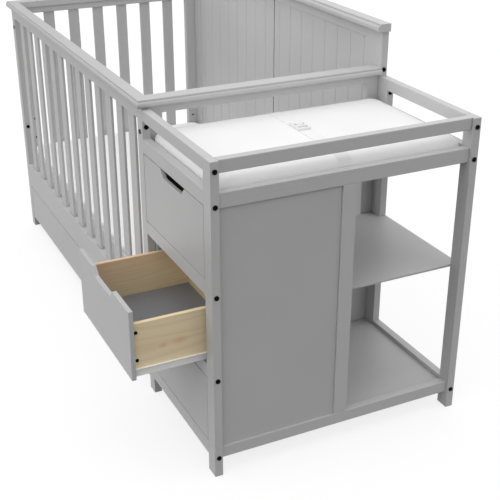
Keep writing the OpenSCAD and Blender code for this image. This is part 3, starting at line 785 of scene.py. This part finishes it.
CORNER_FILL = 1.3
BASE_MM = 1.5
TUCK_CURVE = 1.5
EDGE_SHARE = 0.2


def swollen(node, voxel_mm, shrink_mm, pressure, cap_mm, proud_mm, full, tuck_mm,
            eased_mm=None):
    """A sewn cover, swollen over its foam and held to the cushion's place."""
    low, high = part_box(node)
    middle, size = (low + high) / 2, high - low
    mesh = loose_skin(node, voxel_mm, shrink_mm)
    before = vertex_places(mesh)
    mesh = inflated(mesh, pressure)
    # No point moves further than the cap.
    move = vertex_places(mesh) - before
    far = np.linalg.norm(move, axis=1, keepdims=True)
    after = before + move * np.minimum(1, cap_mm * MM / np.maximum(far, 1e-9))
    # The foam fills the corners, and the sides stand where it holds them.
    for i in range(2):
        width = after[:, i].max() - after[:, i].min()
        centre = (after[:, i].max() + after[:, i].min()) / 2
        out = np.clip((after[:, i] - centre) / (width / 2), -1, 1)
        out = np.sign(out) * (1 - (1 - np.abs(out)) ** CORNER_FILL)
        after[:, i] = middle[i] + out * (size[i] / 2 + proud_mm * MM)
    # The upper part is fuller than a bubble, and the base lies flat.
    top = after[:, 2].max()
    up = np.clip((after[:, 2] - low.z) / (top - low.z), 0, 1)
    after[:, 2] = low.z + (top - low.z) * (1 - (1 - up) ** full)
    base = low.z + (shrink_mm + BASE_MM) * full * MM
    after[:, 2] = np.where(after[:, 2] < base, low.z, after[:, 2])
    # The lower edge tucks in under the sides.
    tuck_up, tuck_in = (mm * MM for mm in tuck_mm)
    tuck = np.clip((low.z + tuck_up - after[:, 2]) / tuck_up, 0, 1) ** TUCK_CURVE
    for i in range(2):
        out = np.abs(after[:, i] - middle[i]) / (size[i] / 2)
        side = np.clip(out - (1 - EDGE_SHARE), 0, EDGE_SHARE) / EDGE_SHARE
        after[:, i] -= np.sign(after[:, i] - middle[i]) * tuck * side * tuck_in
    # The top edge is rolled off on the right, in front and at the back.
    if eased_mm:
        reach, drop = (mm * MM for mm in eased_mm)
        for inside in (high.x - after[:, 0], after[:, 1] - low.y, high.y - after[:, 1]):
            near = np.clip(1 - (inside + proud_mm * MM) / reach, 0, 1)
            up = np.clip((after[:, 2] - low.z) / (high.z - low.z), 0, 1)
            after[:, 2] -= (1 - np.sqrt(1 - near ** 2)) * drop * up
    mesh.vertices.foreach_set("co", after.ravel())
    piece = placed("cover", mesh)
    smooth = piece.modifiers.new("finer", "SUBSURF")
    smooth.levels = smooth.render_levels = 1
    mesh = settled_mesh(piece)
    mesh.shade_smooth()
    return mesh


# The last number is the pad cover's painted glow, which lightens its shaded sides.
pad_cover = white_cloth("white_coated_polyester", COVER_WHITE, 0.5, 0.07)
pad_low, pad_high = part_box("changing_pad")
pad_mesh = coated(swollen(
    "changing_pad", voxel_mm=6, shrink_mm=2.5, pressure=4, cap_mm=4, proud_mm=2,
    full=1.15, tuck_mm=(14, 5), eased_mm=(45, 20)), pad_cover)
pad = show("pad_cover", pad_mesh, "crib_frame", ["changing_pad"])

# ---- Welt round the pad ----
# A thin cord in a folded strip of the pad's own cover, sewn in round the
# pad's lower edge.
WELT_UP_MM = 11
WELT_RADIUS_MM = 1.9
ROUND_SQUARE = 0.25
CAST_FROM = 1.3
CAST_TO = 0.6
GIRTH_SMOOTHINGS = 3


def rope_tree():
    """A round cord along the edges of a working mesh."""
    tree, given = new_tree("sewn_cord", [("Cord radius", "Float")])
    path = wire(tree, "GeometryNodeMeshToCurve", {"Mesh": given["Geometry"]})
    ring = wire(tree, "GeometryNodeCurvePrimitiveCircle", {
        "Resolution": 10, "Radius": given["Cord radius"]})
    tube = wire(tree, "GeometryNodeCurveToMesh", {
        "Curve": path.outputs["Curve"], "Profile Curve": ring.outputs["Curve"]})
    soft = wire(tree, "GeometryNodeSetShadeSmooth", {"Geometry": tube.outputs["Mesh"]})
    return end_tree(tree, given, soft.outputs["Geometry"])


cords = rope_tree()


def seeker(mesh):
    return BVHTree.FromPolygons([v.co for v in mesh.vertices],
                                [p.vertices[:] for p in mesh.polygons])


def girth(mesh, low, high, z, stand_mm, count=240):
    """Points round a cushion at one height, a little proud of its cover."""
    tree = seeker(mesh)
    middle, half = (low + high) / 2, (high - low) / 2
    points = []
    for i in range(count):
        turn = (i + 0.5) * 2 * math.pi / count
        out = [math.copysign(abs(x) ** ROUND_SQUARE, x)
               for x in (math.cos(turn), math.sin(turn))]
        outside, aim = (Vector((middle.x + out[0] * half.x * share,
                                middle.y + out[1] * half.y * share, z))
                        for share in (CAST_FROM, CAST_TO))
        hit = tree.ray_cast(outside, (aim - outside).normalized())[0]
        if hit is not None:
            points.append(np.array(hit + (outside - aim).normalized() * stand_mm * MM))
    points = np.array(points)
    for _ in range(GIRTH_SMOOTHINGS):
        points = (np.roll(points, 1, 0) + 2 * points + np.roll(points, -1, 0)) / 4
    return points


def path_mesh(points, closed):
    mesh = bpy.data.meshes.new("path")
    count = len(points)
    edges = [(i, (i + 1) % count) for i in range(count if closed else count - 1)]
    mesh.from_pydata([list(p) for p in points], edges, [])
    return mesh


welt_path = girth(pad_mesh, pad_low, pad_high, pad_low.z + WELT_UP_MM * MM, 0.2)
show("pad_welt", grown(path_mesh(welt_path, True), cords, {
    "Cord radius": WELT_RADIUS_MM * MM, "Finish": pad_cover}),
    "crib_frame")

# ---- Safety belt ----
# White polyester webbing, woven flat, that crosses the pad and goes down both
# sides to the tray. A line of lock stitches runs along each edge.
BELT_MM = 38
BELT_THICK_MM = 1.3
BELT_ROWS = 7
BELT_CASTS = 400
BELT_POINTS = 150
BELT_SMOOTHINGS = 6
# The belt's points are cast from a squarish arch round the pad's middle.
ARCH_SQUARE = 0.2
ARCH_HALF_MM = 190
ARCH_RISE_MM = 40
ARCH_FOOT_MM = 4
BELT_EDGE_DEGREES = 50
STITCH_IN_MM = 2.5
STITCH_PITCH_MM = 4.0
STITCH_MM = 3.0
THREAD_RADIUS_MM = 0.35
# The ribs are finer in fact. They are drawn coarse, to show.
RIB_MM = 2.4
CROSS_RIB_MM = 1.6 * RIB_MM


def webbing():
    """Woven webbing: a dull white, ribbed both ways, with a slight sheen."""
    finish, tree, surface, place = new_finish("woven_polyester_webbing", "UV")
    ribs = wire(tree, "ShaderNodeTexWave", {
        "Vector": place, "Scale": 1 / (RIB_MM * MM) / math.tau, "Distortion": 0.6,
        "Detail": 1.0}, bands_direction="X")
    cross = wire(tree, "ShaderNodeTexWave", {
        "Vector": place, "Scale": 1 / (CROSS_RIB_MM * MM) / math.tau,
        "Distortion": 0.4}, bands_direction="Y")
    both = wire(tree, "ShaderNodeMath", {
        0: ribs.outputs["Fac"], 1: cross.outputs["Fac"]},
        operation="MULTIPLY").outputs["Value"]
    tint = wire(tree, "ShaderNodeMix", {
        0: both, 6: linear("E4E4E4"), 7: linear("EEEEEE")}, data_type="RGBA")
    relief = wire(tree, "ShaderNodeBump", {
        "Strength": 0.3, "Distance": 0.4 * MM, "Height": both})
    feed(tree, surface, {
        "Base Color": tint.outputs[2], "Normal": relief.outputs["Normal"],
        "Roughness": 0.75, "Sheen Weight": 0.2})
    return finish


def stitch_tree():
    """Short thread loops laid end to end along the edges of a working mesh."""
    tree, given = new_tree("lock_stitches", [
        ("Pitch", "Float"), ("Stitch length", "Float"), ("Thread radius", "Float")])
    path = wire(tree, "GeometryNodeMeshToCurve", {"Mesh": given["Geometry"]})
    spaced = wire(tree, "GeometryNodeResampleCurve", {
        "Curve": path.outputs["Curve"], "Length": given["Pitch"]}, mode="LENGTH")
    bead = wire(tree, "GeometryNodeMeshUVSphere", {
        "Segments": 6, "Rings": 4, "Radius": 1.0})
    soft = wire(tree, "GeometryNodeSetShadeSmooth", {"Geometry": bead.outputs["Mesh"]})
    half = wire(tree, "ShaderNodeMath", {0: given["Stitch length"], 1: 0.5},
                operation="MULTIPLY")
    size = wire(tree, "ShaderNodeCombineXYZ", {
        "X": half.outputs["Value"], "Y": given["Thread radius"],
        "Z": given["Thread radius"]})
    way = wire(tree, "GeometryNodeInputTangent")
    turn = wire(tree, "FunctionNodeAlignRotationToVector", {
        "Vector": way.outputs["Tangent"]}, axis="X")
    laid = wire(tree, "GeometryNodeInstanceOnPoints", {
        "Points": spaced.outputs["Curve"], "Instance": soft.outputs["Geometry"],
        "Rotation": turn.outputs["Rotation"], "Scale": size.outputs["Vector"]})
    return end_tree(tree, given, laid.outputs["Instances"])


belt_cloth = webbing()
# Spun thread is matt and a shade darker than the webbing it is sewn through.
thread, *_ = mottled("spun_polyester_thread", 900.0, 2.0, ("E0E0E0", "D4D4D4"),
                     {"Roughness": 0.7})
stitches = stitch_tree()
pad_tree = seeker(pad_mesh)
pad_middle = (pad_low + pad_high) / 2


def belt_line(y, stand_mm):
    """Points over the pad at one distance from the front, tray to tray."""
    points = []
    for i in range(BELT_CASTS):
        turn = math.pi * i / (BELT_CASTS - 1)
        lean = math.copysign(abs(math.cos(turn)) ** ARCH_SQUARE, math.cos(turn))
        rise = abs(math.sin(turn)) ** ARCH_SQUARE
        way = Vector((lean * ARCH_HALF_MM, 0, rise * ARCH_RISE_MM - ARCH_FOOT_MM)) * MM
        outside = Vector((pad_middle.x, y, pad_middle.z)) + way * 2
        hit = pad_tree.ray_cast(outside, -way.normalized())[0]
        if hit is not None:
            points.append(np.array(hit + way.normalized() * stand_mm * MM))
    points = np.array(points)
    steps = np.r_[0, np.cumsum(np.linalg.norm(np.diff(points, axis=0), axis=1))]
    even = np.linspace(0, steps[-1], BELT_POINTS)
    points = np.stack([np.interp(even, steps, points[:, i]) for i in range(3)], 1)
    for _ in range(BELT_SMOOTHINGS):
        points[1:-1] = (points[:-2] + 2 * points[1:-1] + points[2:]) / 4
    return points


def belt_sheet(rows):
    """A strip of webbing through rows of points, thickened on its upper side."""
    shape = bmesh.new()
    uv = shape.loops.layers.uv.new("UVMap")
    grid = [[shape.verts.new(p) for p in row] for row in rows]
    length = float(np.linalg.norm(np.diff(rows[0], axis=0), axis=1).sum())
    last_row, last_point = len(rows) - 1, len(rows[0]) - 1
    for r in range(last_row):
        for c in range(last_point):
            corners = ((r, c), (r, c + 1), (r + 1, c + 1), (r + 1, c))
            face = shape.faces.new([grid[i][j] for i, j in corners])
            for loop, (i, j) in zip(face.loops, corners):
                loop[uv].uv = (j / last_point * length, i / last_row * BELT_MM * MM)
    bmesh.ops.recalc_face_normals(shape, faces=shape.faces)
    if sum(f.normal.z for f in shape.faces) < 0:
        bmesh.ops.reverse_faces(shape, faces=shape.faces)
    mesh = bpy.data.meshes.new("belt")
    shape.to_mesh(mesh)
    shape.free()
    piece = placed("belt", mesh)
    thick = piece.modifiers.new("thick", "SOLIDIFY")
    thick.thickness = BELT_THICK_MM * MM
    thick.offset = 1.0
    mesh = settled_mesh(piece)
    mesh.shade_smooth()
    mesh.set_sharp_from_angle(angle=math.radians(BELT_EDGE_DEGREES))
    return mesh


belt_low, belt_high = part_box("safety_belt")
belt_y = (belt_low.y + belt_high.y) / 2
rows = [belt_line(belt_y + (r / (BELT_ROWS - 1) - 0.5) * BELT_MM * MM, 0.5)
        for r in range(BELT_ROWS)]
show("belt_webbing", coated(belt_sheet(rows), belt_cloth), "crib_frame",
     ["safety_belt"])
for label, way in (("front", -1), ("back", 1)):
    edge = belt_line(belt_y + way * (BELT_MM / 2 - STITCH_IN_MM) * MM, 1.9)[6:-6]
    show("belt_stitches_" + label, grown(path_mesh(edge, False), stitches, {
        "Pitch": STITCH_PITCH_MM * MM, "Stitch length": STITCH_MM * MM,
        "Thread radius": THREAD_RADIUS_MM * MM, "Finish": thread}),
        "crib_frame")

# ---- Belt buckle ----
# A side-release buckle, moulded in white acetal: a hollow female half, and a
# male half whose two prongs show in its side windows.
BUCKLE_X_MM = -34
BUCKLE_UP_MM = 1.6
# Each plate in mm from the buckle's middle: the ends along and across the
# belt, the corner, the heights of its two faces, and how far it is eased.
FEMALE_MM = (
    ((-31, 4), (-19, 19), 4, (0, 2.4), 0.7),
    ((-31, -9), (-19, 19), 4, (2.4, 8), 0.9),
    ((-10, 4), (-9, 9), 2, (2.4, 8), 0.9),
)
MALE_BARS_MM = (
    ((5, 13), (-18, 18), 2.5, (0, 7), 0.9),
    ((22, 28), (-18, 18), 2.5, (0, 6), 0.9),
    ((12, 23), (-18, -15), 1, (0, 5.5), 0.5),
    ((12, 23), (15, 18), 1, (0, 5.5), 0.5),
)
PRONG_MM = ((-9, 15), (-8, 19), (-2, 20), (6, 15), (6, 11), (-3, 14))
PRONG_UPS_MM = (2.6, 6.4)
# Acetal is hard and slick, so it shines a little more than the nylon does.
white_acetal, *_ = mottled("moulded_white_acetal", 260.0, 2.0, ("ECECEC", "E6E6E6"),
                           {"Roughness": 0.35})
buckle_x = pad_middle.x + BUCKLE_X_MM * MM
buckle_z = float(max(p[2] for row in rows for p in row)) + BUCKLE_UP_MM * MM


def plate(outline_mm, ups_mm, eased_mm):
    """A flat moulding from its outline round the buckle's middle."""
    form = bmesh.new()
    face = form.faces.new([
        form.verts.new((buckle_x + x * MM, belt_y + y * MM, buckle_z + ups_mm[0] * MM))
        for x, y in outline_mm])
    raised = bmesh.ops.extrude_face_region(form, geom=[face])["geom"]
    for item in raised:
        if isinstance(item, bmesh.types.BMVert):
            item.co.z = buckle_z + ups_mm[1] * MM
    bmesh.ops.recalc_face_normals(form, faces=form.faces)
    mesh = bpy.data.meshes.new("plate")
    form.to_mesh(mesh)
    form.free()
    return eased_mesh(mesh, eased_mm, 2, 30), white_acetal


def rounded_plate(along, across, corner, ups_mm, eased_mm, steps=4):
    outline = []
    for x, y, start in ((along[1] - corner, across[1] - corner, 0),
                        (along[0] + corner, across[1] - corner, 90),
                        (along[0] + corner, across[0] + corner, 180),
                        (along[1] - corner, across[0] + corner, 270)):
        for k in range(steps + 1):
            turn = math.radians(start + 90 * k / steps)
            outline.append((x + corner * math.cos(turn), y + corner * math.sin(turn)))
    return plate(outline, ups_mm, eased_mm)


female = [rounded_plate(*sizes) for sizes in FEMALE_MM]
male = [rounded_plate(*sizes) for sizes in MALE_BARS_MM]
for way in (-1, 1):
    male.append(plate([(x, way * y) for x, y in PRONG_MM], PRONG_UPS_MM, 0.5))
show("buckle_female_half", joined(female), "crib_frame")
show("buckle_male_half", joined(male), "crib_frame")

# ---- Mattress ----
# A firm foam block in a white woven cover, with piping sewn in round its top
# and bottom faces. It fills the crib's inside, so its sides stay nearly flat.
MATTRESS_WHITE = "E6E6E6"
PIPING_UPS_MM = (("top", 119), ("bottom", 14))
PIPING_RADIUS_MM = 2.6
# The last number is the mattress cover's painted glow. It is stronger than the pad's,
# to lighten the shaded sides seen between the slats.
mattress_cover = white_cloth("white_woven_mattress_cover", MATTRESS_WHITE, 0.7, 0.18)
mattress_low, mattress_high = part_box("mattress")
mattress_mesh = coated(swollen(
    "mattress", voxel_mm=10, shrink_mm=2, pressure=3, cap_mm=4, proud_mm=5.5,
    full=1.8, tuck_mm=(20, 3)), mattress_cover)
mattress = show("mattress_cover", mattress_mesh, "crib_frame",
                ["mattress"])
for label, up in PIPING_UPS_MM:
    ring = girth(mattress_mesh, mattress_low, mattress_high,
                 mattress_low.z + up * MM, 0.3, 400)
    show("mattress_piping_" + label, grown(path_mesh(ring, True), cords, {
        "Cord radius": PIPING_RADIUS_MM * MM, "Finish": mattress_cover}),
        "crib_frame")

# ---- Floor ----
# A sweep of matt white studio paper. The camera and the reflections see its
# own even glow, which doesn't light the crib from below.
FLOOR_HALF_M = 14
FLOOR_GLOW = 0.80
sweep_paper, *_ = mottled(
    "matt_white_sweep", 40.0, 2.0, ("828282", "7E7E7E"),
    {"Roughness": 1.0, "Specular IOR Level": 0.0, "Emission Color": (1, 1, 1, 1),
     "Emission Strength": FLOOR_GLOW})
floor_mesh = bpy.data.meshes.new("sweep")
floor_mesh.from_pydata(
    [(x * FLOOR_HALF_M, y * FLOOR_HALF_M, 0)
     for x, y in ((-1, -1), (1, -1), (1, 1), (-1, 1))], [], [(0, 1, 2, 3)])
floor = placed("sweep", coated(floor_mesh, sweep_paper))
floor.visible_diffuse = False

# ---- Backdrop ----
# A ring of white paper closes the view behind the floor from every side. Only
# the camera sees it, so the surround still lights the crib through it.
RING_M = 13.5
RING_LOW_M = -0.5
RING_SIDES = 96
backdrop_paper, *_ = mottled(
    "white_backdrop_paper", 40.0, 2.0, ("FFFFFF", "FDFDFD"),
    {"Base Color": (0, 0, 0, 1), "Specular IOR Level": 0.0, "Emission Strength": 1.0},
    takes="Emission Color")
ring_points = []
for i in range(RING_SIDES):
    turn = 2 * math.pi * i / RING_SIDES
    for up in (RING_LOW_M, RING_M):
        ring_points.append((RING_M * math.cos(turn), RING_M * math.sin(turn), up))
count = len(ring_points)
ring_mesh = bpy.data.meshes.new("backdrop")
ring_mesh.from_pydata(ring_points, [], [
    (i, i + 1, (i + 3) % count, (i + 2) % count) for i in range(0, count, 2)])
backdrop = placed("backdrop", coated(ring_mesh, backdrop_paper))
for rays in ("diffuse", "glossy", "transmission", "volume_scatter", "shadow"):
    setattr(backdrop, "visible_" + rays, False)

# ---- Light ----
# A soft white surround, brightest low in front and behind, and a weak key
# above and a little in front, which gives the shadows a side.
# Each row is a strength and the fades that bound its part of the surround, as
# (axis, where it starts, where it is full): above, front, back and right.
LOW_BAND = (("Z", -0.05, 0.1), ("Z", 0.6, 0.4))
SURROUND = (
    (1.07, (("Z", 0.4, 0.6),)),
    (1.34, LOW_BAND + (("Y", -0.2, -0.5),)),
    (1.14, LOW_BAND + (("Y", 0.2, 0.5),)),
    (0.11, LOW_BAND + (("X", 0.2, 0.5),)),
)
KEY_SIZE_M = 6.0
KEY_WATTS = 53
KEY_AWAY_M = 4.5
world = bpy.data.worlds.new("white_surround")
world.use_nodes = True
sky = world.node_tree
way_seen = wire(sky, "ShaderNodeTexCoord").outputs["Generated"]
directions = wire(sky, "ShaderNodeSeparateXYZ", {"Vector": way_seen})
total = 0.0
for glow, fades in SURROUND:
    for axis, start, full in fades:
        fade = wire(sky, "ShaderNodeMapRange", {
            "Value": directions.outputs[axis], "From Min": min(start, full),
            "From Max": max(start, full), "To Min": float(start > full),
            "To Max": float(start < full)})
        glow = wire(sky, "ShaderNodeMath", {
            0: fade.outputs["Result"], 1: glow}, operation="MULTIPLY").outputs["Value"]
    total = wire(sky, "ShaderNodeMath", {0: glow, 1: total}).outputs["Value"]
feed(sky, sky.nodes["Background"], {"Color": (1, 1, 1, 1), "Strength": total})
scene.world = world

key_data = bpy.data.lights.new("soft_key", "AREA")
key_data.shape = "SQUARE"
key_data.size = KEY_SIZE_M
key_data.energy = KEY_WATTS
key = placed("soft_key", key_data)
key_way = Vector((0.0, -0.33, 1)).normalized()
key.location = Vector((0, 0, 0.5)) + key_way * KEY_AWAY_M
key.rotation_euler = key_way.to_track_quat("Z", "Y").to_euler()

scene.view_settings.view_transform = "Standard"
scene.view_settings.look = "None"
